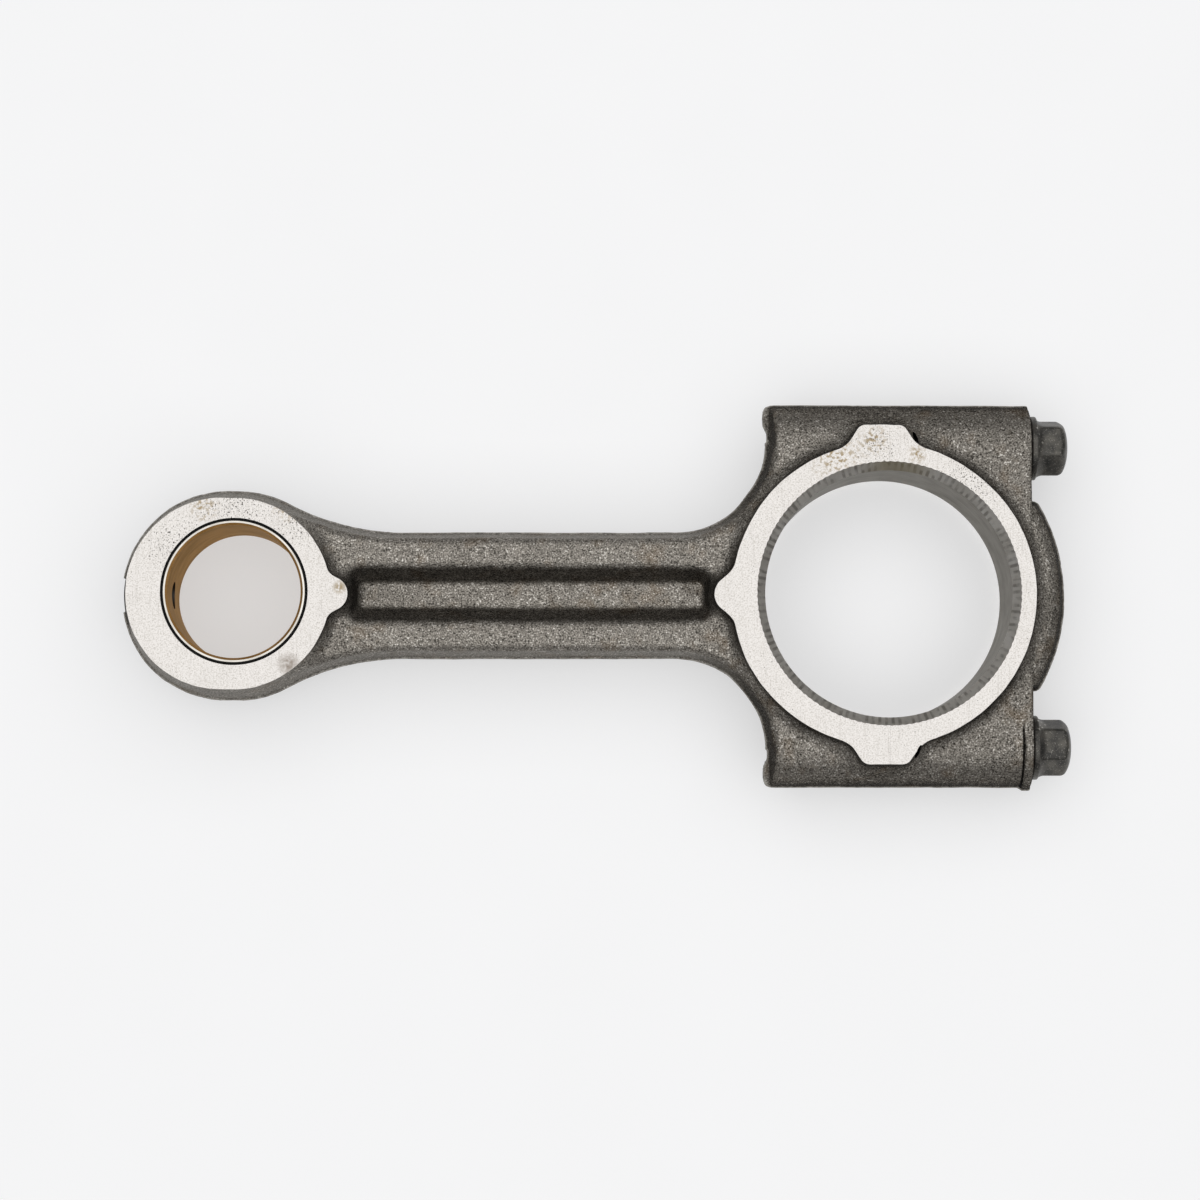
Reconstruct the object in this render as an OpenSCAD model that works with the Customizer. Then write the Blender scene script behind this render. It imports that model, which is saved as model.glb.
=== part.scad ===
// Connecting rod with a bolted big-end cap and a bushed small end.
// Origin: centre of the big-end bore, halfway between the machined faces.
// +X points to the cap and the bolt heads, +Z along both bores.

/* [Overall] */
// Distance between the centres of the two bores
centre_distance = 128; // [105:1:160]
// Width over the machined faces of both ends
face_width = 24; // [20:0.5:30]

/* [Small end] */
// Diameter of the finished piston pin bore
pin_bore_d = 26; // [20:0.5:32]
// Wall of the pressed-in bush
bush_wall = 1.1; // [0.9:0.1:1.6]
// Chamfer on the edges of the pin bore
pin_chamfer = 0.5; // [0.2:0.1:0.8]
// Width of the machined ring around the bush
eye_ring_w = 4.75; // [3.5:0.25:7]
// Length by which the eye is drawn out beyond its centre for the oil boss
eye_stretch = 2.4; // [0:0.1:4]
// Diameter of the oil hole through the crown of the eye
oil_hole_d = 4; // [2.5:0.25:5]
// Diameter of the oil pocket in the bush
bush_oil_d = 5.5; // [3:0.25:7]

/* [Shank] */
// Width of the shank at the forging's parting line
shank_w = 25.2; // [20:0.2:32]
// Thickness over the two rails
shank_t = 18; // [15:0.5:19]
// Thickness of the web between the pockets
web_t = 6; // [4:0.5:8]
// Width of each pocket at its opening
pocket_w = 11.4; // [8:0.2:14]
// Width of the pocket floor
pocket_floor_w = 4.9; // [3:0.1:7]
// Metal left between a pocket and the machined ring at each end
pocket_margin = 3; // [2:0.25:6]
// Radius of the flare into the big end
flare_r = 18; // [12:1:22]
// Radius of the blend into the small end
blend_r = 32; // [20:1:45]

/* [Big end] */
// Diameter of the big-end bore
housing_bore_d = 48.5; // [40:0.5:60]
// Chamfer on the edges of the big-end bore
housing_chamfer = 1.6; // [0.8:0.1:2]
// Width of the machined ring around the big-end bore
ring_w = 5.55; // [4.5:0.25:8]
// Offset of the ring towards the shank
ring_shift = 1.2; // [0:0.1:2]
// Distance that each locating pad stands out beyond the ring
pad_reach = 3.4; // [2:0.1:4.5]
// Width of the flat on the end of a side pad
pad_flat_w = 7.7; // [5:0.1:10]
// Width of the foot of a side pad
pad_foot_w = 14.5; // [12:0.5:18]
// Radius of the two round pads on the shank's centre line
nose_r = 4; // [3:0.25:5]
// Distance from the parting plane back to the shoulders
shoulder_depth = 23.8; // [20:0.2:26]
// Distance from the bore wall out to the bolt seats on the cap
seat_rise = 4.65; // [3:0.05:7]
// Thickness of the cap's arch beyond the bore
arch_wall = 11.45; // [9:0.05:14]
// Thickness of the arch along Z
arch_t = 16; // [12:0.5:18]
// Width of the arch where it leaves the seats
arch_w = 37.6; // [30:0.2:40]

/* [Bolts] */
// Nominal diameter of the cap bolts
bolt_d = 8; // [7:0.5:10]
// Length of a bolt under its head
bolt_length = 47; // [39:1:57]
// Metal between a bolt and the big-end bore
bolt_gap = 1.55; // [1.2:0.05:3]
// Wall of the boss around a bolt
boss_wall = 4.1; // [3.5:0.1:5]
// Diameter of the flange under a bolt head
flange_d = 12.7; // [11.5:0.1:15]
// Thickness of the flange
flange_t = 1.3; // [1:0.1:2]
// Size of the hexagon across its flats
hex_af = 10; // [8:0.5:12]
// Height of the whole head
head_h = 7.8; // [6:0.2:10]
// Turn of the upper bolt's hexagon
upper_turn = 12; // [0:1:59]
// Turn of the lower bolt's hexagon
lower_turn = 7; // [0:1:59]

/* [Clearances] */
// Radial clearance of a bolt in the cap
cap_clearance = 0.3; // [0.2:0.05:0.6]
// Radial clearance of the plain bolt in its threaded hole in the rod
thread_clearance = 0.1; // [0.05:0.05:0.2]
// Space left beyond a bolt's tip
tip_clearance = 1.2; // [0.5:0.1:3]

/* [Hidden] */
$fn = 96;

half_face = face_width / 2;
pin_r = pin_bore_d / 2;
bush_r = pin_r + bush_wall;
bush_edge = 0.25;
eye_face_r = bush_r + eye_ring_w;
eye_draft = 1.9;
eye_mid_r = eye_face_r + eye_draft;

housing_r = housing_bore_d / 2;
ring_r = housing_r + ring_w;
ring_draft = 0.6;
seat_x = housing_r + seat_rise;
arch_r = housing_r + arch_wall + ring_shift;
bolt_y = housing_r + bolt_gap + bolt_d / 2;
boss_r = bolt_d / 2 + boss_wall;
collar_w = 2.1;
collar_lip = 0.5;
bolt_r = bolt_d / 2 - thread_clearance;
bolt_hole_r = bolt_d / 2;
bolt_tip_x = seat_x - bolt_length;
tip_chamfer = 0.8;

shank_half = shank_w / 2;
rail_draft = 2;
blend_dx = sqrt(pow(eye_mid_r + blend_r, 2) - pow(shank_half + blend_r, 2));
flare_x = -shoulder_depth - flare_r - 0.3;
pocket_start = -centre_distance + eye_face_r + pocket_margin;
pocket_end = -ring_shift - ring_r - pocket_margin;
pocket_end_draft = 1.5;
eye_nose_x = -centre_distance + eye_face_r + pad_reach - nose_r;
ring_nose_x = -ring_shift - ring_r - pad_reach + nose_r;
far = 2 * (centre_distance + arch_r);
eps = 0.05;

// Both halves of something built upwards from the forging's parting plane.
module both_sides() {
    for (side = [0, 1])
        mirror([0, 0, side])
            children();
}

// A round boss that tapers from the parting plane up to its machined face.
module drafted_boss(mid_r, top_r, height) {
    both_sides() cylinder(h = height, r1 = mid_r, r2 = top_r);
}

// A cylinder whose axis runs along +X from a given place.
module x_cylinder(x, y, length, radius) {
    translate([x, y, 0])
        rotate([0, 90, 0])
            cylinder(h = length, r = radius);
}

// The six-sided section of the shank, tapered for the forging dies.
module shank_section() {
    edge = shank_half - rail_draft;
    top = shank_t / 2;
    polygon([[shank_half, 0], [edge, top], [-edge, top],
             [-shank_half, 0], [-edge, -top], [edge, -top]]);
}

// One pocket of the I-section: sloping sides, sloping ends.
module pocket() {
    low = web_t / 2;
    high = shank_t / 2 + eps;
    length = pocket_end - pocket_start;
    intersection() {
        translate([pocket_start, 0, 0])
            rotate([90, 0, 90])
                linear_extrude(length)
                    polygon([[-pocket_floor_w / 2, low], [pocket_floor_w / 2, low],
                             [pocket_w / 2, high], [-pocket_w / 2, high]]);
        rotate([90, 0, 0])
            linear_extrude(pocket_w * 2, center = true)
                polygon([[pocket_start + pocket_end_draft, low],
                         [pocket_end - pocket_end_draft, low],
                         [pocket_end, high], [pocket_start, high]]);
    }
}

module shank() {
    difference() {
        translate([-centre_distance, 0, 0])
            rotate([90, 0, 90])
                linear_extrude(centre_distance - shoulder_depth)
                    shank_section();
        both_sides() pocket();
    }
}

// The web of metal that fills the corner under a concave arc.
module arc_fill(outline, centre, radius, height) {
    for (flip = [0, 1])
        mirror([0, flip, 0])
            both_sides()
                difference() {
                    linear_extrude(height) polygon(outline);
                    translate([centre[0], centre[1], -eps])
                        cylinder(h = height + 2 * eps, r1 = radius, r2 = radius + rail_draft);
                }
}

module small_end_blends() {
    top = [blend_dx, shank_half + blend_r];
    difference() {
        translate([-centre_distance, 0, 0])
            arc_fill([[0, 0], [blend_dx, 0], top], top, blend_r, shank_t / 2);
        both_sides() pocket();
    }
}

module big_end_flares() {
    top = [flare_x, shank_half + flare_r];
    difference() {
        arc_fill([[flare_x, 0], [-shoulder_depth, 0], [-shoulder_depth, top[1]], top],
                 top, flare_r, boss_r);
        both_sides() pocket();
    }
}

module small_end_eye() {
    for (x = [0, -eye_stretch])
        translate([x - centre_distance, 0, 0])
            drafted_boss(eye_mid_r, eye_face_r, half_face);
    translate([eye_nose_x, 0, 0])
        cylinder(h = face_width, r = nose_r, center = true);
}

// Bosses for the two bolts and the block that joins them.
module big_end_block() {
    length = seat_x + shoulder_depth;
    for (y = [-bolt_y, bolt_y])
        x_cylinder(-shoulder_depth, y, length, boss_r);
    translate([-shoulder_depth, -bolt_y, -boss_r])
        cube([length, 2 * bolt_y, 2 * boss_r]);
}

module seat_collars() {
    for (y = [-bolt_y, bolt_y])
        x_cylinder(seat_x - collar_w, y, collar_w, boss_r + collar_lip);
}

module side_pads() {
    foot_y = ring_r - 1;
    end_y = ring_r + pad_reach;
    for (flip = [0, 1])
        mirror([0, flip, 0])
            translate([-ring_shift, 0, -half_face])
                linear_extrude(face_width)
                    polygon([[-pad_foot_w / 2, foot_y], [pad_foot_w / 2, foot_y],
                             [pad_flat_w / 2, end_y], [-pad_flat_w / 2, end_y]]);
}

module big_end_ring() {
    translate([-ring_shift, 0, 0])
        drafted_boss(ring_r + ring_draft, ring_r, half_face);
    translate([ring_nose_x, 0, 0])
        cylinder(h = face_width, r = nose_r, center = true);
}

module cap_arch() {
    intersection() {
        translate([-ring_shift, 0, -arch_t / 2])
            cylinder(h = arch_t, r = arch_r);
        translate([0, -arch_w / 2, -arch_t / 2])
            cube([arch_r, arch_w, arch_t]);
    }
}

// The big end in one piece, as forged and before it is split.
module big_end() {
    big_end_block();
    seat_collars();
    side_pads();
    big_end_ring();
    cap_arch();
}

// The big-end bore with a chamfer at each face.
module housing_bore() {
    cylinder(h = face_width + 2 * eps, r = housing_r, center = true);
    both_sides()
        translate([0, 0, half_face - housing_chamfer])
            cylinder(h = housing_chamfer + eps, r1 = housing_r,
                     r2 = housing_r + housing_chamfer + eps);
}

module bolt_holes() {
    depth_x = bolt_tip_x - tip_clearance;
    for (y = [-bolt_y, bolt_y]) {
        x_cylinder(depth_x, y, -depth_x, bolt_hole_r);
        x_cylinder(0, y, seat_x + eps, bolt_hole_r + cap_clearance);
    }
}

// One side of the fracture plane at X = 0: -1 is the rod, +1 the cap.
module half_space(side) {
    translate([side * far / 2, 0, 0])
        cube([far, far, far], center = true);
}

module rod() {
    color("dimgray")
        difference() {
            union() {
                small_end_eye();
                small_end_blends();
                shank();
                big_end_flares();
                intersection() {
                    big_end();
                    half_space(-1);
                }
            }
            housing_bore();
            bolt_holes();
            translate([-centre_distance, 0, 0])
                cylinder(h = face_width + 2 * eps, r = bush_r, center = true);
            x_cylinder(-centre_distance - 2 * eye_mid_r, 0, 2 * eye_mid_r, oil_hole_d / 2);
        }
}

module cap() {
    color("gray")
        difference() {
            intersection() {
                big_end();
                half_space(1);
            }
            housing_bore();
            bolt_holes();
        }
}

module small_end_bush() {
    straight = half_face - pin_chamfer;
    color("rosybrown")
        translate([-centre_distance, 0, 0])
            difference() {
                rotate_extrude()
                    polygon([[pin_r, -straight], [pin_r + pin_chamfer, -half_face],
                             [bush_r - bush_edge, -half_face], [bush_r, bush_edge - half_face],
                             [bush_r, half_face - bush_edge], [bush_r - bush_edge, half_face],
                             [pin_r + pin_chamfer, half_face], [pin_r, straight]]);
                x_cylinder(-2 * bush_r, 0, 2 * bush_r, bush_oil_d / 2);
            }
}

// A flanged hexagon head bolt with its seat at X = 0 and its shank along -X.
module flange_bolt(turn) {
    hex_r = hex_af / sqrt(3);
    cone_h = 1.2;
    dome = 1.4;
    rotate([0, 90, 0])
        rotate([0, 0, turn]) {
            cylinder(h = flange_t, r = flange_d / 2);
            translate([0, 0, flange_t - eps])
                cylinder(h = cone_h, r1 = flange_d / 2 - 0.2, r2 = hex_af / 2);
            intersection() {
                cylinder(h = head_h, r = hex_r, $fn = 6);
                union() {
                    cylinder(h = head_h - dome, r = hex_r + 1);
                    translate([0, 0, head_h - dome])
                        cylinder(h = dome, r1 = hex_r + eps, r2 = hex_af / 2 - 0.7);
                }
            }
            translate([0, 0, tip_chamfer - bolt_length])
                cylinder(h = bolt_length - tip_chamfer + eps, r = bolt_r);
            translate([0, 0, -bolt_length])
                cylinder(h = tip_chamfer, r1 = bolt_r - tip_chamfer, r2 = bolt_r);
        }
}

module upper_bolt() {
    color("darkslategray")
        translate([seat_x, bolt_y, 0])
            flange_bolt(upper_turn);
}

module lower_bolt() {
    color("darkslategray")
        translate([seat_x, -bolt_y, 0])
            flange_bolt(lower_turn);
}

rod();
cap();
small_end_bush();
upper_bolt();
lower_bolt();
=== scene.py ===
import math
from functools import reduce

import bpy
import numpy as np
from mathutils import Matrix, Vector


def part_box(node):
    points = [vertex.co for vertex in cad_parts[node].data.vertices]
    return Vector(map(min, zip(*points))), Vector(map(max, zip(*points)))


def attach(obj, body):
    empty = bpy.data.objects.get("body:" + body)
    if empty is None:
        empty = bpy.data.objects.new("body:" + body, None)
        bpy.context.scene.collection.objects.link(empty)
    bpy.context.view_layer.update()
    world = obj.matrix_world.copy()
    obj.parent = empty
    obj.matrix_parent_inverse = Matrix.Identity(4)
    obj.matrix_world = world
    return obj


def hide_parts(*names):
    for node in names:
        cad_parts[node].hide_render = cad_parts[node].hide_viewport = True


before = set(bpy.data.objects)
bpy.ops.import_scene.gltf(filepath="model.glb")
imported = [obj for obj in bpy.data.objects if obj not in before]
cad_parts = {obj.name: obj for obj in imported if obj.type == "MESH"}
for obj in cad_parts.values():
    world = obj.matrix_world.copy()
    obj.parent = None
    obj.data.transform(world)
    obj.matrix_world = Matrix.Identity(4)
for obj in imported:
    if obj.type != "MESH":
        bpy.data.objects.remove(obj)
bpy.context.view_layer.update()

import openvdb
from mathutils import Matrix, Vector, noise

# ---------------------------------------------------------------------------------------
# Camera. It hangs about 0.7 m above the rod on a long lens, tipped 4 degrees, so that the
# far walls of both bores show.
LENS_MM = 108.73
CAMERA_AT = (-0.06566, -0.05115, 0.71736)
CAMERA_TILT = [math.radians(angle) for angle in (4.0235, -0.7417, 0.0927)]

camera_data = bpy.data.cameras.new("studio_camera")
camera_data.lens = LENS_MM
camera = bpy.data.objects.new("studio_camera", camera_data)
bpy.context.scene.collection.objects.link(camera)
camera.location = CAMERA_AT
camera.rotation_euler = CAMERA_TILT
bpy.context.scene.camera = camera

# ---------------------------------------------------------------------------------------
# Forging. Rod and cap are one drop forging of medium-carbon steel until they are split.
# The dies part at Z = 0, so every wall leans inwards from there and a trimmed flash line
# runs all round. Sizes are in millimetres; the frame gives the places.
MM = 0.001
PITCH = 0.5                     # spacing of the sampling grid
LIFT = 1.2                      # milling stock left on both faces
DRAFT = 0.14                    # lean of a wall, per millimetre of height
DIE_SHIFT = 0.3                 # how far the parting outline sits above the big-end bore
FACE_SHIFT = (-0.42, -0.22)     # how far the face outlines sit above each bore, eye first


def node_box(node):
    low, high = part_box(node)
    return np.array(low) / MM, np.array(high) / MM


bush_low, bush_high = node_box("small_end_bush")
bolt_low, bolt_high = node_box("upper_bolt")
rod_low, rod_high = node_box("rod")
cap_low, cap_high = node_box("cap")

EYE_X = (bush_low[0] + bush_high[0]) / 2
FACE_Z = bush_high[2]
BUSH_R = (bush_high[0] - bush_low[0]) / 2
BOLT_Y = (bolt_low[1] + bolt_high[1]) / 2
EYE_R = 20.65
EYE_STRETCH = 2.4
EYE_NOSE_R = 3.5
EYE_NOSE_TIP = 22.4
EYE_NOSE_FILLET = 1.6
EYE_FILLET = 2.6
BLEND_R = 48.0
SHANK_HALF = 12.45
SHANK_TAPER = 0.15              # gained in half width from the big end to the eye
SHANK_END_X = -20.0             # under the ring, where the shank's outline stops
MID_SHANK_X = -80.0             # from here to the eye, no fillet swells past the outline
RAIL_Z = 9.0
RAIL_DROP = 0.95
RAIL_DROP_X = (-46.0, -30.0)
RAIL_EDGE = 1.7
RAIL_INNER_EDGE = 1.3
FLARE_R = 18.0
SHOULDER_X = -23.3
WEB_Z = 3.0
POCKET_FLOOR_HALF = 2.35
POCKET_FLOOR_X = (-105.4, -34.9)
POCKET_SIDE_SLOPE = 0.50
POCKET_END_SLOPE = 0.1
POCKET_CORNER = 2.3
POCKET_FILLET = 0.6
POCKET_TRUE = 0.88              # turns the sloping walls' reach into distance
RING_X = -1.05
RING_R = 30.05
RING_NOSE_R = 3.9
RING_NOSE_TIP = -34.5
RING_NOSE_FILLET = 2.2
RING_FILLET = 2.3
PAD_REACH = 33.5
PAD_X = (-1.35, -0.8)
PAD_HALF = 4.35
PAD_FLANK = (0.83, 0.558)       # the way each flank faces: along X, then along Y
PAD_CORNER = 1.0
BOSS_R = 8.1
BOSS_EDGE = 0.9
COLLAR_R = (8.15, 8.75)         # upper and lower; the lower seat was upset further
COLLAR_EDGE = 0.7
COLLAR_X = 26.6
SEAT_X = 28.9
ARCH_R = 36.75
ARCH_HALF = 18.8
ARCH_Z = 7.9
ARCH_DRAFT = 0.2
ARCH_EDGE = 2.6
ARCH_END_DRAFT = 0.1
ARCH_END_EDGE = 0.6
ARCH_GAP = 0.4                  # left between the arch and the plane of the seats
EAR_Y = 5.4                     # torn flash at the outer corner of each shoulder
EAR_SIZE = (0.85, 2.2, 0.9)
EAR_FILLET = 0.4
FLASH_WIDTH = 0.42
FLASH_HEIGHT = 0.42
FLASH_ROOT = 0.13
SINK = 0.7                      # share of a wave's depth by which the skin is set back
WAVES = ((9.0, 0.12), (2.4, 0.06))    # length and depth of each set of waves
BLANK_LOW = (-153.2, -40.3, -14.2)
BLANK_HIGH = (38.2, 40.3, 14.3)


def union(*solids):
    return reduce(np.minimum, solids)


def common(*solids):
    return reduce(np.maximum, solids)


def round_union(a, b, radius):
    """Distance to two solids joined with a fillet of the given radius."""
    inner = np.hypot(np.maximum(radius - a, 0), np.maximum(radius - b, 0))
    return np.maximum(radius, np.minimum(a, b)) - inner


def round_common(a, b, radius):
    """Distance to what two solids share, with its new edge rounded."""
    return -round_union(-a, -b, radius)


def disc(x, y, centre_x, centre_y, radius):
    return np.hypot(x - centre_x, y - centre_y) - radius


def capsule(x, y, start_x, end_x, radius):
    return np.hypot(x - np.clip(x, start_x, end_x), y) - radius


def raised(outline, height, z, draft, edge):
    """Outline drawn up from the parting plane with leaning walls and a rounded edge."""
    return round_common(outline + draft * z, z - height, edge)


def under_arc(x, y, arc_x, arc_y, radius, from_x):
    """Corner of metal left under a concave arc, back to a line from its centre."""
    length = math.hypot(arc_x - from_x, arc_y)
    along = (y * (arc_x - from_x) - (x - from_x) * arc_y) / length
    return common(-disc(x, y, arc_x, arc_y, radius), x - arc_x, from_x - x, along)


def eye_outline(x, y):
    """Eye, shank and both flared ends, at the parting plane."""
    half = SHANK_HALF + SHANK_TAPER * (x / EYE_X - 0.5)
    shank = common(y - half, EYE_X - x, x - SHANK_END_X)
    eye = capsule(x, y, EYE_X - EYE_STRETCH, EYE_X, EYE_R)
    blend_y = SHANK_HALF + BLEND_R
    blend_x = EYE_X + math.sqrt((EYE_R + BLEND_R) ** 2 - blend_y ** 2)
    blend = under_arc(x, y, blend_x, blend_y, BLEND_R, EYE_X)
    flare_x = SHOULDER_X - FLARE_R - 0.3
    flare_y = SHANK_HALF + FLARE_R
    flare = common(-disc(x, y, flare_x, flare_y, FLARE_R), flare_x - x, x - SHANK_END_X,
                   y - flare_y)
    return union(shank, eye, blend, flare)


def pocket(x, y, z):
    """The hollow that makes the shank an I-section: sloping walls, round corners."""
    rise = z - WEB_Z
    middle = sum(POCKET_FLOOR_X) / 2
    reach = (POCKET_FLOOR_X[1] - POCKET_FLOOR_X[0]) / 2
    side = y - (POCKET_FLOOR_HALF - POCKET_CORNER) - POCKET_SIDE_SLOPE * rise
    end = np.abs(x - middle) - (reach - POCKET_CORNER) - POCKET_END_SLOPE * rise
    walls = np.hypot(np.maximum(side, 0), np.maximum(end, 0)) - POCKET_CORNER
    walls = walls + np.minimum(np.maximum(side, end), 0)
    return round_common(POCKET_TRUE * walls, -rise, POCKET_FILLET)


def shank_level(x, y, z, outline):
    """Everything that is as high as the rails of the shank, with the pockets taken out."""
    drop = np.clip((x - RAIL_DROP_X[0]) / (RAIL_DROP_X[1] - RAIL_DROP_X[0]), 0, 1)
    rail_z = RAIL_Z - RAIL_DROP * drop * drop * (3 - 2 * drop)
    solid = raised(outline, rail_z, z, DRAFT, RAIL_EDGE)
    return round_common(solid, -pocket(x, y, z), RAIL_INNER_EDGE)


def eye_level(x, y, z):
    """The eye at its full height, with its round locating pad."""
    lean = DRAFT * z
    eye = capsule(x, y, EYE_X - EYE_STRETCH, EYE_X, EYE_R) + lean
    pad = disc(x, y, EYE_X + EYE_NOSE_TIP - EYE_NOSE_R, 0, EYE_NOSE_R) + lean - DRAFT * FACE_Z
    return np.maximum(round_union(eye, pad, EYE_NOSE_FILLET), z - FACE_Z - LIFT)


def ring_level(x, y, z, upper):
    """The machined ring of the big end with its three locating pads."""
    lean = DRAFT * (z - FACE_Z)
    ring = disc(x, y, RING_X, 0, RING_R)
    pad_x = np.where(upper, *PAD_X)
    flank = (np.abs(x - pad_x) - PAD_HALF) * PAD_FLANK[0] + (y - PAD_REACH) * PAD_FLANK[1]
    pad = np.maximum(round_common(y - PAD_REACH, flank, PAD_CORNER), 0.75 * RING_R - y)
    nose = disc(x, y, RING_NOSE_TIP + RING_NOSE_R, 0, RING_NOSE_R)
    outline = round_union(round_union(ring, pad, PAD_CORNER), nose, RING_NOSE_FILLET)
    return np.maximum(outline + lean, z - FACE_Z - LIFT)


def block_level(x, y, z, upper):
    """Two bolt bosses with a collar at each seat, the block between and the arch of the cap."""
    across = np.hypot(np.maximum(y - BOLT_Y, 0), z)
    ends = np.maximum(x - SEAT_X, SHOULDER_X - x + DRAFT * z)
    block = round_common(across - BOSS_R, ends, BOSS_EDGE)
    collar = np.hypot(y - BOLT_Y, z) - np.where(upper, *COLLAR_R)
    collar = round_common(collar, common(x - SEAT_X, COLLAR_X - x), COLLAR_EDGE)
    block = union(block, collar)
    arch = raised(disc(x, y, RING_X, 0, ARCH_R), ARCH_Z, z, ARCH_DRAFT, ARCH_EDGE)
    arch_end = y - ARCH_HALF + ARCH_END_DRAFT * z
    arch = round_common(np.maximum(arch, -x), arch_end, ARCH_END_EDGE)
    ear_x = (x - SHOULDER_X) / EAR_SIZE[0]
    ear_y = (y - BOLT_Y - EAR_Y) / EAR_SIZE[1]
    ear = (np.sqrt(ear_x ** 2 + ear_y ** 2 + (z / EAR_SIZE[2]) ** 2) - 1) * EAR_SIZE[2]
    return union(round_union(block, ear, EAR_FILLET), arch)


def forging(x, y, z):
    """Distance to the skin of the whole forging; the far side mirrors the near one."""
    z = np.abs(z)
    rise = z / FACE_Z
    end = np.clip(1 - x / EYE_X, 0, 1)
    face_shift = FACE_SHIFT[0] + (FACE_SHIFT[1] - FACE_SHIFT[0]) * end
    y = y - DIE_SHIFT * end * (1 - rise) - face_shift * rise
    upper = y > 0
    y = np.abs(y)
    outline = eye_outline(x, y)
    body = union(shank_level(x, y, z, outline), block_level(x, y, z, upper))
    body = round_union(body, ring_level(x, y, z, upper), RING_FILLET)
    body = round_union(body, eye_level(x, y, z), EYE_FILLET)
    body = common(body, union(outline + DRAFT * z, MID_SHANK_X - x))
    body = body + FLASH_ROOT - FLASH_HEIGHT * np.exp(-(z / FLASH_WIDTH) ** 2)
    return common(body, union(x - SEAT_X, y - ARCH_HALF - ARCH_GAP))


def skin_mesh(name, solid, low, high, pitch):
    """Mesh of a distance function's zero surface, each point pulled exactly onto it."""
    axes = [np.arange(a, b, pitch) for a, b in zip(low, high)]
    field = solid(*np.meshgrid(*axes, indexing="ij", sparse=True))
    grid = openvdb.FloatGrid(background=5.0)
    grid.copyFromArray(np.clip(field, -5, 5).astype(np.float32))
    points, _, quads = grid.convertToPolygons(isovalue=0.0, adaptivity=0.0)
    points = points * pitch + np.array(low)
    step = pitch / 10
    for _ in range(3):
        here = solid(*points.T)
        slope = np.stack([solid(*(points + step * unit).T) - here for unit in np.eye(3)], axis=1)
        slope /= step
        size = np.maximum((slope ** 2).sum(axis=1), 0.2)
        points = points - np.clip(slope * (here / size)[:, None], -0.3 * pitch, 0.3 * pitch)
    mesh = bpy.data.meshes.new(name)
    mesh.from_pydata((points * MM).tolist(), [], quads.tolist())
    mesh.update()
    return mesh


def link(name, mesh):
    made = bpy.data.objects.new(name, mesh)
    bpy.context.scene.collection.objects.link(made)
    return made


def read(items, name):
    """A coordinate-like property of all items as rows of three numbers."""
    numbers = np.empty(3 * len(items))
    items.foreach_get(name, numbers)
    return numbers.reshape(-1, 3)


def weather(mesh, waves):
    """Moves a skin by soft noise, mostly inwards, so that it stays within the drawn size."""
    points = read(mesh.vertices, "co")
    normals = read(mesh.vertices, "normal")
    push = [sum(depth * (noise.noise(Vector(place) / (length * MM)) - SINK)
                for length, depth in waves) for place in points]
    points += normals * np.array(push)[:, None] * MM
    mesh.vertices.foreach_set("co", points.ravel())
    mesh.update()


def linear(hex_colour, alpha=1.0):
    """An sRGB hex colour as the linear numbers that a shader takes."""
    parts = [int(hex_colour[i:i + 2], 16) / 255 for i in (0, 2, 4)]
    return [c / 12.92 if c <= 0.04045 else ((c + 0.055) / 1.055) ** 2.4 for c in parts] + [alpha]


def add(tree, kind, inputs, **settings):
    """Adds one node, sets it up and links or sets its inputs."""
    made = tree.nodes.new("ShaderNode" + kind)
    for name, value in settings.items():
        setattr(made, name, value)
    for socket, value in inputs.items():
        if isinstance(value, bpy.types.NodeSocket):
            tree.links.new(value, made.inputs[socket])
        else:
            made.inputs[socket].default_value = value
    return made.outputs


def new_finish(name):
    """A material with its Principled shader and the piece's own coordinates in mm."""
    material = bpy.data.materials.new(name)
    material.use_nodes = True
    tree = material.node_tree
    shader = tree.nodes["Principled BSDF"]
    where = add(tree, "TexCoord", {})["Object"]
    place = add(tree, "VectorMath", {0: where, "Scale": 1 / MM}, operation="SCALE")[0]
    return material, tree, shader, place


def grain(tree, place, size_mm, detail=2.0, stretch=(1, 1, 1)):
    """Noise whose lumps are about size_mm across, drawn out by stretch."""
    drawn = add(tree, "VectorMath", {0: place, 1: [1 / (size_mm * s) for s in stretch]},
                operation="MULTIPLY")[0]
    return add(tree, "TexNoise", {"Vector": drawn, "Scale": 1.0, "Detail": detail})["Fac"]


def remap(tree, value, low, high, to_low=0.0, to_high=1.0):
    return add(tree, "MapRange", {"Value": value, "From Min": low, "From Max": high,
                                  "To Min": to_low, "To Max": to_high})[0]


def times(tree, a, b):
    return add(tree, "Math", {0: a, 1: b}, operation="MULTIPLY")[0]


def plus(tree, a, b):
    return add(tree, "Math", {0: a, 1: b}, operation="ADD")[0]


def absolute(tree, value):
    return add(tree, "Math", {0: value}, operation="ABSOLUTE")[0]


def blend_colour(tree, share, first, second):
    return add(tree, "Mix", {0: share, 6: first, 7: second}, data_type="RGBA")[2]


def plug(tree, shader, **sources):
    for name, source in sources.items():
        tree.links.new(source, shader.inputs[name.replace("_", " ")])


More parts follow.
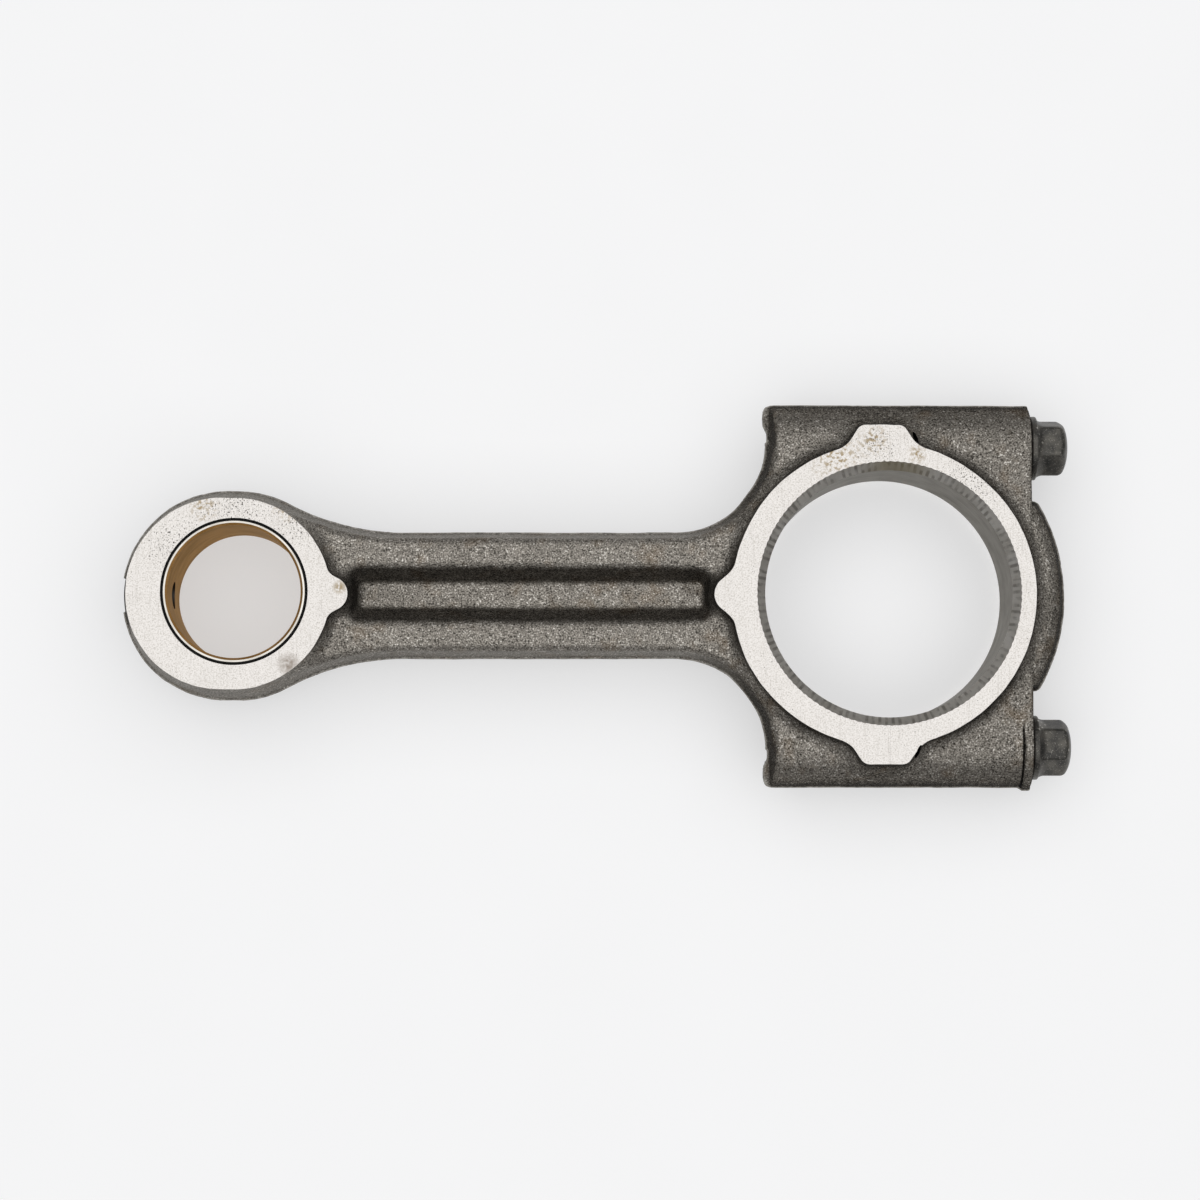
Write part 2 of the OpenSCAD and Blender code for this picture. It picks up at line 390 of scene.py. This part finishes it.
# Shot-blasted forging skin: dull grey-brown scale, pocked by the shot about three times a
# millimetre, with light crests that carry painted glints, and dark pits. Steep walls are given
# painted shade, deeper in the pockets and round the big end, and thin rust shows in patches.
SHOT_MM = 0.31
SKIN_DARK = linear("5a5650")
SKIN_LIGHT = linear("a9a39a")
SKIN_PIT = linear("36332f")
SKIN_TRIM = linear("b5b1aa")
SEAM_GROOVE_SHADE = linear("141210")    # painted shade of a narrow groove behind the lower seat collar, too fine for the mesh
SKIN_OPEN_GLANCE = linear("f2f0ec")
SKIN_RUST = linear("7a6448")
SKIN_GLINT = linear("ece8e1")
STEEP_SHADE = (0.55, 0.36)      # in the open; in the pockets and round the big end
BIG_END_SHADE = 0.84            # the skin's colour is made darker towards the big end
TRIM_HALF = 0.45                # the trimmed edge along the parting plane shines a little
skin, tree, shader, place = new_finish("shot_blasted_forged_steel")
shot = grain(tree, place, SHOT_MM, 2.0)
lump = grain(tree, place, 1.1, 3.0)
patch = grain(tree, place, 6.0, 4.0)
mixed = plus(tree, shot, remap(tree, lump, 0.3, 0.7, -0.06, 0.06))
mixed = plus(tree, mixed, remap(tree, patch, 0.3, 0.7, -0.03, 0.03))
tone = blend_colour(tree, remap(tree, mixed, 0.34, 0.66), SKIN_DARK, SKIN_LIGHT)
rust = grain(tree, place, 5.0, 5.0)
tone = blend_colour(tree, remap(tree, rust, 0.55, 0.72, 0.0, 0.35), tone, SKIN_RUST)
tone = blend_colour(tree, remap(tree, mixed, 0.36, 0.28), tone, SKIN_PIT)
# Painted glints: near-white specks on the highest crests of the shot grain.
tone = blend_colour(tree, remap(tree, mixed, 0.63, 0.74), tone, SKIN_GLINT)
# Painted shade: the colour is darkened the more a face turns away from straight up, and more so in
# the pockets and round the big end.
facing = absolute(tree, add(tree, "SeparateXYZ", {0: add(tree, "NewGeometry", {})["Normal"]})[2])
along, across, height = add(tree, "SeparateXYZ", {0: place})[:3]
in_pocket = remap(tree, absolute(tree, across), 7.5, 5.5)
by_big_end = remap(tree, along, -40.0, -25.0)
deep_shade = add(tree, "Math", {0: in_pocket, 1: by_big_end}, operation="MAXIMUM")[0]
steep = remap(tree, deep_shade, 0.0, 1.0, *STEEP_SHADE)
shade = times(tree, remap(tree, facing, 0.2, 0.95, steep, 1.0),
              remap(tree, along, -40.0, -5.0, 1.0, BIG_END_SHADE))
tone = add(tree, "VectorMath", {0: tone, "Scale": shade}, operation="SCALE")[0]
# Painted shade: a near-black line where the groove behind the lower seat collar would lie in shade.
from_seam = absolute(tree, plus(tree, along, -COLLAR_X))
seam_shade = times(tree, remap(tree, from_seam, 0.30, 0.12), remap(tree, across, -24.0, -26.5))
tone = blend_colour(tree, seam_shade, tone, SEAM_GROOVE_SHADE)
trimmed = times(tree, remap(tree, absolute(tree, height), TRIM_HALF, 0.5 * TRIM_HALF),
                remap(tree, lump, 0.4, 0.6, 0.35, 0.9))
tone = blend_colour(tree, trimmed, tone, SKIN_TRIM)
bump = add(tree, "Bump", {"Height": plus(tree, shot, lump), "Strength": 0.8,
                          "Distance": 0.2 * MM})[0]
# Where the painted shade is deepest, glancing reflections are tinted with the skin's tone, which
# dulls them too.
glance = blend_colour(tree, deep_shade, SKIN_OPEN_GLANCE, tone)
plug(tree, shader, Base_Color=tone, Specular_Tint=glance, Normal=bump,
     Roughness=remap(tree, shot, 0.3, 0.7, 0.58, 0.36))
shader.inputs["Metallic"].default_value = 0.85

blank = link("forging_blank", skin_mesh("forging_blank", forging, BLANK_LOW, BLANK_HIGH, PITCH))
weather(blank.data, WAVES)
blank.data.materials.append(skin)

# ---------------------------------------------------------------------------------------
# Machining. The blank is milled flat on both faces, bored and chamfered, drilled and
# tapped, and last of all split across the big-end bore. Each tool below carries the
# finish that it leaves on the steel.
BORE_R = 24.25
CHAMFER = 1.62
CHATTER_MARKS = 121
CHATTER_DEPTH = 0.08            # at the wide end of the chamfer tool
BAR_TURN = 0.1                  # in degrees; keeps the tool's corners off the grid lines of the blank
GROOVE_R = BUSH_R + 0.28
GROOVE_DEPTH = 0.9
OVERRUN = 1.0
HOLE_R = 4.0
CAP_HOLE_R = 4.3
CAP_HOLE_X = (-0.5, SEAT_X + OVERRUN)
THREAD_PITCH = 1.25
THREAD_CREST = 4.35
HOLE_END_X = bolt_low[0] - 1.2
MOUTH_X = -6.0
MOUTH_R = 4.45
MOUTH_LIP = 0.6                 # how far the mouth of a tapped hole reaches past the split
TAP_PITCH = 0.27
TAP_LOW = (HOLE_END_X - 3.0, -5.0, -5.0)
TAP_HIGH = (1.2, 5.0, 5.0)
SLIT_X = (5.5, 5.6)             # upper and lower
SLIT_Y = 30.9
SLIT_SIZE = (0.42, 1.3)
SLIT_LEAN = 20.0
SLIT_FLOOR_Z = 5.0
OIL_HOLE_R = 2.0
OIL_SINK_R = 3.3
OIL_SINK_X = 22.4               # from the centre of the eye
OIL_OUT_X = 26.0


def turned(name, profile, finishes, segments=256, ripple=0.0, ripples=0, closed=False):
    """A body of revolution about Z. Profile is (radius, height, finish of the next face).
    With a ripple, the widest rings wave in and out."""
    widest = max(radius for radius, _, _ in profile)
    points = []
    rings = []
    for radius, height, _ in profile:
        rings.append(len(points))
        if radius == 0:
            points.append((0, 0, height * MM))
            continue
        for i in range(segments):
            angle = math.tau * i / segments
            wave = ripple * math.cos(ripples * angle) if radius == widest else 0.0
            reach = (radius + wave) * MM
            points.append((reach * math.cos(angle), reach * math.sin(angle), height * MM))
    faces = []
    slots = []
    pairs = list(range(len(profile) - 1)) + ([len(profile) - 1] if closed else [])
    for a in pairs:
        b = (a + 1) % len(profile)
        for i in range(segments):
            j = (i + 1) % segments
            low = [rings[a]] if profile[a][0] == 0 else [rings[a] + i, rings[a] + j]
            high = [rings[b]] if profile[b][0] == 0 else [rings[b] + j, rings[b] + i]
            faces.append(low + high)
            slots.append(profile[a][2])
    mesh = bpy.data.meshes.new(name)
    mesh.from_pydata(points, [], faces)
    for finish in finishes:
        mesh.materials.append(finish)
    mesh.polygons.foreach_set("material_index", slots)
    mesh.update()
    return link(name, mesh)


def cut(stock, tool, operation="DIFFERENCE"):
    """Machines stock with a tool. The new faces take the tool's finish."""
    modifier = stock.modifiers.new("cut", "BOOLEAN")
    modifier.operation = operation
    modifier.solver = "EXACT"
    modifier.material_mode = "TRANSFER"
    modifier.object = tool
    bpy.context.view_layer.update()
    seen = stock.evaluated_get(bpy.context.evaluated_depsgraph_get())
    machined = bpy.data.meshes.new_from_object(seen)
    stock.modifiers.clear()
    stock.data = machined
    bpy.data.objects.remove(tool)


def lay_along_x(tool, x, y, turn_back=False):
    """Turns a tool made along Z so that it runs along X from (x, y)."""
    side = -1 if turn_back else 1
    for vertex in tool.data.vertices:
        a, b, c = vertex.co
        vertex.co = (x * MM + side * c, y * MM + a, side * b)


# Face-milled steel: bright and nearly flat, with fine pores left from the forging that
# crowd together in places, a few tan oil stains and the straight scratches of the cutter.
PORE_MM = 0.26
MILLED_LIGHT = linear("dfdbd7")
MILLED_DULL = linear("bdb8b1")
PORE_DARK = linear("3a342c")
OIL_TAN = linear("8a7448")
SMUDGE = linear("8f857c")
# Each stain: where it is, how far it reaches and how little of it is broken up.
OIL_STAINS = (((-107.4, 0.9), 1.6, 0.13), ((-10.5, 27.0), 6.5, 0.0), ((-3.0, 30.0), 3.8, 0.0),
              ((5.5, 27.3), 2.2, 0.04), ((-117.0, 17.0), 4.5, 0.0), ((-134.0, 16.5), 3.5, 0.0))
SMUDGE_AT = (-117.2, -14.2)
PORE_PATCHES = (((-128.0, 16.0), 11.0), ((-115.5, 13.0), 6.0), ((-140.0, 9.0), 8.0),
                ((16.0, 22.0), 9.0), ((-2.0, 29.0), 6.0))


def near(tree, place, spot, reach):
    """One at a spot on the faces, fading to nothing at its reach."""
    flat = add(tree, "VectorMath", {0: place, 1: (1, 1, 0)}, operation="MULTIPLY")[0]
    away = add(tree, "VectorMath", {0: flat, 1: (*spot, 0)}, operation="DISTANCE")["Value"]
    return remap(tree, away, reach, 0.25 * reach)


milled, tree, shader, place = new_finish("face_milled_steel")
cloud = grain(tree, place, 4.0, 4.0)
speckle = grain(tree, place, 0.28, 2.0)
scratch = grain(tree, place, 0.22, 3.0, stretch=(1, 24, 1))
pores = grain(tree, place, PORE_MM, 3.0, stretch=(1, 1.5, 1))
tone = blend_colour(tree, remap(tree, speckle, 0.44, 0.72), MILLED_LIGHT, MILLED_DULL)
tone = blend_colour(tree, remap(tree, cloud, 0.55, 0.75, 0.0, 0.2), tone, MILLED_DULL)
tone = blend_colour(tree, remap(tree, scratch, 0.60, 0.72, 0.0, 0.5), tone, MILLED_DULL)
crowd = 0.0
for spot, reach in PORE_PATCHES:
    crowd = plus(tree, crowd, near(tree, place, spot, reach))
crowded = plus(tree, remap(tree, crowd, 0.0, 1.0, -0.015, 0.09), pores)
pore = remap(tree, crowded, 0.68, 0.71)
blot = grain(tree, place, 0.8, 5.0)
for spot, reach, solid in OIL_STAINS:
    share = times(tree, near(tree, place, spot, reach),
                  remap(tree, blot, 0.49 - solid, 0.60 - solid, 0.0, 0.8))
    tone = blend_colour(tree, share, tone, OIL_TAN)
share = times(tree, near(tree, place, SMUDGE_AT, 2.6), remap(tree, blot, 0.35, 0.55, 0.4, 0.95))
tone = blend_colour(tree, share, tone, SMUDGE)
tone = blend_colour(tree, pore, tone, PORE_DARK)
relief = add(tree, "Math", {0: scratch, 1: pore}, operation="SUBTRACT")[0]
bump = add(tree, "Bump", {"Height": relief, "Strength": 0.25, "Distance": 0.03 * MM})[0]
plug(tree, shader, Base_Color=tone, Normal=bump,
     Metallic=remap(tree, pore, 0.0, 1.0, 1.0, 0.2),
     Roughness=remap(tree, scratch, 0.3, 0.7, 0.30, 0.42))


def cut_steel(name, light, dull, stretch, size_mm, rough, depth_mm, edge="ffffff"):
    """Machined steel whose tool marks run the way that stretch says."""
    material, tree, shader, place = new_finish(name)
    marks = grain(tree, place, size_mm, 3.0, stretch)
    cloud = grain(tree, place, 4.0, 4.0)
    tone = blend_colour(tree, remap(tree, cloud, 0.35, 0.7), linear(light), linear(dull))
    bump = add(tree, "Bump", {"Height": marks, "Strength": 0.4, "Distance": depth_mm * MM})[0]
    plug(tree, shader, Base_Color=tone, Normal=bump,
         Roughness=remap(tree, marks, 0.3, 0.7, rough, rough + 0.14))
    shader.inputs["Specular Tint"].default_value = linear(edge)
    shader.inputs["Metallic"].default_value = 1.0
    return material, tree, shader, place, tone


# Bored steel shows rings of tool marks round the hole; the chamfer is the same steel cut
# by a chattering tool, its ripples' shade painted on as dark stripes, stained with old oil near the
# parting line; holes are duller still.
bored = cut_steel("bored_steel", "7a7875", "5f5d5a", (40, 40, 1), 0.3, 0.34, 0.02, "dfdcd6")[0]
drilled = cut_steel("drilled_steel", "6a6763", "4b4844", (1, 20, 20), 0.3, 0.4, 0.02)[0]
OIL_AT = (1.5, 25.0, 11.5)
OIL_REACH = 8.0
OIL_FILM = linear("b3a273")
CHATTER_SHADE = linear("a39d96")
chamfered, tree, shader, place, tone = cut_steel("chattered_chamfer_steel", "f4f0ea", "dcd7cf",
                                                 (1, 1, 40), 0.3, 0.36, 0.03)
# Painted shade: a dark stripe for each chatter mark round the bore, patchy in strength.
x, y = add(tree, "SeparateXYZ", {0: place})[:2]
angle = add(tree, "Math", {0: y, 1: x}, operation="ARCTAN2")[0]
chatter_shade_share = add(tree, "Math", {0: times(tree, angle, CHATTER_MARKS)}, operation="SINE")[0]
chatter_shade_share = times(tree, remap(tree, chatter_shade_share, -0.4, 0.6),
             remap(tree, grain(tree, place, 2.2), 0.4, 0.6, 0.0, 0.8))
tone = blend_colour(tree, chatter_shade_share, tone, CHATTER_SHADE)
away = add(tree, "VectorMath", {0: place, 1: OIL_AT}, operation="DISTANCE")["Value"]
film = remap(tree, away, OIL_REACH, 0.3 * OIL_REACH, 0.0, 0.5)
plug(tree, shader, Base_Color=blend_colour(tree, film, tone, OIL_FILM))

# Painted shade: the narrow groove between eye and bush, the bush's back faces seen down it and the
# slits are painted near black, so they take almost no light.
gap_shade, tree, shader, place = new_finish("black_painted_gap_shade")
plug(tree, shader, Base_Color=blend_colour(tree, grain(tree, place, 0.6), linear("0d0c0b"),
                                           linear("1c1a18")),
     Roughness=remap(tree, grain(tree, place, 0.4), 0.3, 0.7, 0.7, 0.9))

# A fracture-split face: clean, bright, coarse crystals that catch the light at random.
CRYSTAL_MM = 0.5
fractured, tree, shader, place = new_finish("fractured_steel")
crystal = add(tree, "TexVoronoi", {"Vector": place, "Scale": 1 / CRYSTAL_MM})
facet = add(tree, "SeparateColor", {0: crystal["Color"]})[0]
bump = add(tree, "Bump", {"Height": facet, "Strength": 0.8, "Distance": 0.12 * MM})[0]
plug(tree, shader, Normal=bump,
     Base_Color=blend_colour(tree, facet, linear("8b8883"), linear("c4c1bb")),
     Roughness=remap(tree, facet, 0.0, 1.0, 0.3, 0.55))
shader.inputs["Metallic"].default_value = 1.0

top = FACE_Z + OVERRUN
wide = 400
mill = turned("milling_tool", [(0, -FACE_Z, 0), (wide, -FACE_Z, 0), (wide, FACE_Z, 0),
                               (0, FACE_Z, 0)], [milled], segments=16)
cut(blank, mill, "INTERSECT")

mouth_r = BORE_R + CHAMFER + OVERRUN
bar = turned("boring_bar", [(0, -top, 0), (mouth_r, -top, 1), (BORE_R, CHAMFER - FACE_Z, 0),
                            (BORE_R, FACE_Z - CHAMFER, 1), (mouth_r, top, 0), (0, top, 0)],
             [bored, chamfered], CHATTER_MARKS * 8, CHATTER_DEPTH, CHATTER_MARKS)
bar.data.transform(Matrix.Rotation(math.radians(BAR_TURN), 4, "Z"))
cut(blank, bar)

floor_z = FACE_Z - GROOVE_DEPTH
reamer = turned("eye_reamer", [(0, -top, 0), (GROOVE_R, -top, 1), (GROOVE_R, -floor_z, 1),
                               (BUSH_R, -floor_z, 0), (BUSH_R, floor_z, 1),
                               (GROOVE_R, floor_z, 1), (GROOVE_R, top, 0), (0, top, 0)],
                [bored, gap_shade])
reamer.data.transform(Matrix.Translation((EYE_X * MM, 0, 0)))
cut(blank, reamer)

oil_drill = turned("oil_drill", [(0, 0, 0), (OIL_HOLE_R, 0, 0), (OIL_HOLE_R, OIL_SINK_X - 1.4, 0),
                                 (OIL_SINK_R, OIL_SINK_X, 0), (OIL_SINK_R + 1, OIL_OUT_X, 0),
                                 (0, OIL_OUT_X, 0)], [drilled], segments=48)
lay_along_x(oil_drill, EYE_X, 0, turn_back=True)
cut(blank, oil_drill)

# A starter slit beside the foot of each pad; its walls take the painted gap shade.
for side, slit_x in zip((1, -1), SLIT_X):
    slitter = turned("slitting_tool", [(0, SLIT_FLOOR_Z, 0), (1, SLIT_FLOOR_Z, 0), (1, top, 0),
                                       (0, top, 0)], [gap_shade], segments=24)
    slitter.data.transform(Matrix.Diagonal((*SLIT_SIZE, 1, 1)))
    slitter.data.transform(Matrix.Rotation(math.radians(side * SLIT_LEAN), 4, "Z"))
    slitter.data.transform(Matrix.Translation((slit_x * MM, side * SLIT_Y * MM, 0)))
    cut(blank, slitter)

for side in (1, -1):
    start, end = CAP_HOLE_X
    drill = turned("cap_drill", [(0, start, 0), (CAP_HOLE_R, start, 0), (CAP_HOLE_R, end, 0),
                                 (0, end, 0)], [drilled], segments=64)
    lay_along_x(drill, 0, side * BOLT_Y)
    cut(blank, drill)


def thread(x, y, z, root, crest):
    """Distance to a screw thread along X with flat crests and roots."""
    turn = (x / THREAD_PITCH - np.arctan2(z, y) / math.tau) % 1.0
    tooth = np.clip(1.35 - 3.4 * np.abs(turn - 0.5), 0, 1)
    return 0.8 * (np.hypot(y, z) - root - (crest - root) * tooth)


def tap(x, y, z):
    """Drill and tap in one: a plain mouth, then thread down to the drill point."""
    across = np.hypot(y, z)
    mouth = common(across - MOUTH_R, x - MOUTH_LIP, MOUTH_X - x)
    threaded = common(thread(x, y, z, HOLE_R, THREAD_CREST), x - MOUTH_X - 0.4, HOLE_END_X - x)
    point = common(0.86 * (across - 1.7 * (x - HOLE_END_X + 2.0)), across - HOLE_R, x - MOUTH_X)
    return union(mouth, threaded, point)


for side in (1, -1):
    tapping = link("tap", skin_mesh("tap", tap, TAP_LOW, TAP_HIGH, TAP_PITCH))
    tapping.data.materials.append(drilled)
    tapping.data.transform(Matrix.Translation((0, side * BOLT_Y * MM, 0)))
    cut(blank, tapping)

# ---------------------------------------------------------------------------------------
# Splitting. A wavy sheet stands for the crack; the rod keeps what lies behind it and the
# cap what lies in front, so that the two broken faces match.
CRACK_STEP = 0.6
CRACK_DEPTH = 0.16
CRACK_GAP = 0.02
CRACK_HALF_Y = 42.0
CRACK_HALF_Z = 14.4
CRACK_BLOCK_X = 60.0


def crack_block(name, offset):
    """A block in front of the crack, whose near face is the wavy sheet."""
    ys = np.arange(-CRACK_HALF_Y, CRACK_HALF_Y + 0.1, CRACK_STEP)
    zs = np.arange(-CRACK_HALF_Z, CRACK_HALF_Z + 0.1, CRACK_STEP)
    points = []
    for depth in (0, 1):
        for y in ys:
            for z in zs:
                place = Vector((0, y, z))
                wave = noise.noise(place * 0.35) + 0.5 * noise.noise(place * 1.1)
                x = CRACK_BLOCK_X if depth else CRACK_DEPTH * wave + offset
                points.append((MM * x, MM * y, MM * z))
    wide = len(zs)
    sheet = len(ys) * wide
    faces = []
    for i in range(len(ys) - 1):
        for j in range(wide - 1):
            a = i * wide + j
            faces.append((a, a + 1, a + wide + 1, a + wide))
            faces.append((a + sheet, a + sheet + wide, a + sheet + wide + 1, a + sheet + 1))
    edge = [i * wide for i in range(len(ys))]
    edge += [(len(ys) - 1) * wide + j for j in range(1, wide)]
    edge += [i * wide + wide - 1 for i in reversed(range(len(ys) - 1))]
    edge += list(reversed(range(1, wide - 1)))
    for a, b in zip(edge, edge[1:] + edge[:1]):
        faces.append((a, b, b + sheet, a + sheet))
    mesh = bpy.data.meshes.new(name)
    mesh.from_pydata(points, [], faces)
    mesh.materials.append(fractured)
    mesh.update()
    return link(name, mesh)


def soften(mesh, sharp_degrees=38):
    """Smooth shading everywhere but at machined edges."""
    mesh.shade_smooth()
    mesh.set_sharp_from_angle(angle=math.radians(sharp_degrees))


rod = link("rod_forging", blank.data.copy())
cut(rod, crack_block("crack", 0.0))
cap = blank
cap.name = "cap_forging"
cut(cap, crack_block("crack", CRACK_GAP), "INTERSECT")
for piece, node in ((rod, "rod"), (cap, "cap")):
    soften(piece.data)
    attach(piece, node)
    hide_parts(node)

# ---------------------------------------------------------------------------------------
# Small-end bush. A thin steel-backed bronze bush, pressed in and bored to size in place,
# so its bore is smooth tan bronze and its ends are faced bright with the eye.
PIN_R = 13.0
PIN_CHAMFER = 0.45
PIN_CHAMFER_DEPTH = 0.26
BACK_EDGE = 0.3
BUSH_HOLE_R = 2.75
BUSH_OUTER_R = BUSH_R - 0.02    # clear of the reamed wall
BUSH_HOLE_END = BUSH_R + 2

bronze, tree, shader, place = new_finish("bored_bronze_lining")
marks = grain(tree, place, 0.3, 3.0, (40, 40, 1))
cloud = grain(tree, place, 5.0, 4.0, (1, 1, 0.6))
tone = blend_colour(tree, remap(tree, cloud, 0.35, 0.7), linear("a98150"), linear("8b6634"))
tone = blend_colour(tree, remap(tree, grain(tree, place, 0.5), 0.66, 0.72, 0.0, 0.5), tone,
                    linear("6b5236"))
bump = add(tree, "Bump", {"Height": marks, "Strength": 0.3, "Distance": 0.02 * MM})[0]
plug(tree, shader, Base_Color=tone, Normal=bump,
     Roughness=remap(tree, marks, 0.3, 0.7, 0.40, 0.55))
shader.inputs["Metallic"].default_value = 0.8
shader.inputs["Specular Tint"].default_value = linear("e0cda8")

faced = cut_steel("faced_bush_steel", "e4e0d8", "c8c3ba", (12, 12, 1), 0.2, 0.28, 0.01)[0]
low, high = -FACE_Z, FACE_Z
# The bush's back faces, seen only down the groove, take the painted gap shade.
bush = turned("bush", [(PIN_R, low + PIN_CHAMFER_DEPTH, 0), (PIN_R, high - PIN_CHAMFER_DEPTH, 0),
                       (PIN_R + PIN_CHAMFER, high, 1), (BUSH_R - BACK_EDGE, high, 2),
                       (BUSH_OUTER_R, high - BACK_EDGE, 2), (BUSH_OUTER_R, low + BACK_EDGE, 2),
                       (BUSH_R - BACK_EDGE, low, 1), (PIN_R + PIN_CHAMFER, low, 0)],
              [bronze, faced, gap_shade], closed=True)
bush.data.flip_normals()
bush.data.transform(Matrix.Translation((EYE_X * MM, 0, 0)))
hole = turned("bush_drill", [(0, 0, 0), (BUSH_HOLE_R, 0, 0), (BUSH_HOLE_R, BUSH_HOLE_END, 0),
                             (0, BUSH_HOLE_END, 0)], [drilled], segments=64)
lay_along_x(hole, EYE_X, 0, turn_back=True)
cut(bush, hole)
soften(bush.data, 30)
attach(bush, "rod")
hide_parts("small_end_bush")

# ---------------------------------------------------------------------------------------
# Cap bolts. Cold-headed flange bolts with rolled threads and a dark phosphate coat. They
# pass through the cap and screw straight into the rod. Each head stopped where it was tight.
HEAD_HIGH = bolt_high[0] - SEAT_X
HEAD_SHORT = {"upper_bolt": 0.3, "lower_bolt": 0.0}
BOLT_LONG = SEAT_X - bolt_low[0]
SHANK_R = 3.9
ROOT_R = 3.2
THREAD_LONG = 24.0
FLANGE_R = 6.34
FLANGE_T = 1.3
FLANGE_EDGE = 0.3
SKIRT_R = 5.9
HEX_HALF = 5.0
HEX_CORNER = 0.5
CROWN_R = 3.3
CROWN_EDGE = 0.8
HEAD_EDGE = 0.7
UNDERHEAD_FILLET = 0.5
BOLT_REACH = 6.8
BOLT_PITCH = 0.17
HEX_TURNS = {"upper_bolt": 12.0, "lower_bolt": 7.0}


def hexagon(y, z, turn):
    """Six flats with softly rounded corners; at no turn a corner points along Y."""
    sides = []
    for degrees in (0, 60, 120):
        angle = math.radians(degrees - turn)
        sides.append(np.abs(z * math.cos(angle) - y * math.sin(angle)) - HEX_HALF)
    return round_common(round_common(sides[0], sides[1], HEX_CORNER), sides[2], HEX_CORNER)


def flange_bolt(x, y, z, turn, high):
    """The bolt with its seat at X = 0, head in front and thread behind."""
    across = np.hypot(y, z)
    crown = round_common(0.5 * (across - CROWN_R) + 0.86 * (x - high), x - high, CROWN_EDGE)
    head = common(round_common(hexagon(y, z, turn), crown, HEAD_EDGE), -x)
    flange = round_common(across - FLANGE_R, common(x - FLANGE_T, -x), FLANGE_EDGE)
    slope = 0.62 * (across - SKIRT_R) + 0.78 * (x - FLANGE_T)
    skirt = common(slope, across - SKIRT_R - 0.1, -x)
    shank = common(across - SHANK_R, x, -(BOLT_LONG - THREAD_LONG) - x)
    screw = common(thread(x, y, z, ROOT_R, SHANK_R), x + BOLT_LONG - THREAD_LONG - 0.2,
                   -BOLT_LONG - x)
    tip = 0.7 * (across - ROOT_R + 0.2 - (x + BOLT_LONG))
    body = union(shank, common(screw, tip))
    head = union(round_union(head, skirt, 0.8), flange)
    return round_union(head, body, UNDERHEAD_FILLET)


coat, tree, shader, place = new_finish("dark_phosphate_bolt")
fine = grain(tree, place, 0.25, 3.0)
patch = grain(tree, place, 2.5, 4.0)
tone = blend_colour(tree, remap(tree, patch, 0.35, 0.7), linear("3a3937"), linear("5f5c56"))
tone = blend_colour(tree, remap(tree, fine, 0.58, 0.70, 0.0, 0.7), tone, linear("9a968f"))
worn = times(tree, remap(tree, add(tree, "NewGeometry", {})["Pointiness"], 0.53, 0.58),
             remap(tree, patch, 0.4, 0.6, 0.2, 0.9))
tone = blend_colour(tree, worn, tone, linear("b8b4ac"))
bump = add(tree, "Bump", {"Height": fine, "Strength": 0.35, "Distance": 0.05 * MM})[0]
plug(tree, shader, Base_Color=tone, Normal=bump,
     Roughness=remap(tree, fine, 0.3, 0.7, 0.34, 0.5))
shader.inputs["Metallic"].default_value = 0.7

for node, side in (("upper_bolt", 1), ("lower_bolt", -1)):
    turn = HEX_TURNS[node]
    high = HEAD_HIGH - HEAD_SHORT[node]
    mesh = skin_mesh(node + "_steel", lambda x, y, z: flange_bolt(x, y, z, turn, high),
                     (-BOLT_LONG - 0.6, -BOLT_REACH, -BOLT_REACH),
                     (high + 0.6, BOLT_REACH, BOLT_REACH), BOLT_PITCH)
    mesh.transform(Matrix.Translation((SEAT_X * MM, side * BOLT_Y * MM, 0)))
    mesh.materials.append(coat)
    soften(mesh, 50)
    bolt = link(node + "_steel", mesh)
    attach(bolt, node)
    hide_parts(node)

# ---------------------------------------------------------------------------------------
# Studio. A white table whose top glows a little, painted light that lifts its shadows, one big soft
# box overhead and a grey room, so that flat machined faces see the soft box and every slope sees the
# darker room.
FLOOR_HALF = 2.0
# Painted light: the table top's glow.
TABLE_GLOW = 0.47
BOX_AT = (-0.1, 0.1, 1.3)
BOX_AIM = (-0.1, 0.1, 0.0)
BOX_SIZE = 3.0
BOX_WATTS = 32.5
ROOM_STRENGTH = 0.2
glowing_table, tree, shader, place = new_finish("glowing_matt_white_table")
plug(tree, shader, Base_Color=blend_colour(tree, grain(tree, place, 30.0), linear("bfbfc0"),
                                           linear("c2c2c3")))
shader.inputs["Roughness"].default_value = 0.9
shader.inputs["Emission Color"].default_value = linear("ffffff")
shader.inputs["Emission Strength"].default_value = TABLE_GLOW
floor_mesh = bpy.data.meshes.new("table_top")
floor_mesh.from_pydata([(x * FLOOR_HALF, y * FLOOR_HALF, -FACE_Z * MM)
                        for x, y in ((-1, -1), (1, -1), (1, 1), (-1, 1))], [], [(0, 1, 2, 3)])
floor_mesh.materials.append(glowing_table)
table = link("table_top", floor_mesh)


def soft_box(name, place, aim, size, watts):
    lamp = bpy.data.lights.new(name, "AREA")
    lamp.size = size
    lamp.energy = watts
    made = link(name, lamp)
    made.location = place
    made.rotation_euler = (Vector(aim) - Vector(place)).to_track_quat("-Z", "Y").to_euler()


soft_box("overhead_box", BOX_AT, BOX_AIM, BOX_SIZE, BOX_WATTS)
world = bpy.data.worlds.new("grey_room")
world.use_nodes = True
room = world.node_tree.nodes["Background"]
room.inputs["Color"].default_value = linear("c8cacc")
room.inputs["Strength"].default_value = ROOM_STRENGTH
bpy.context.scene.world = world
bpy.context.scene.view_settings.view_transform = "Standard"
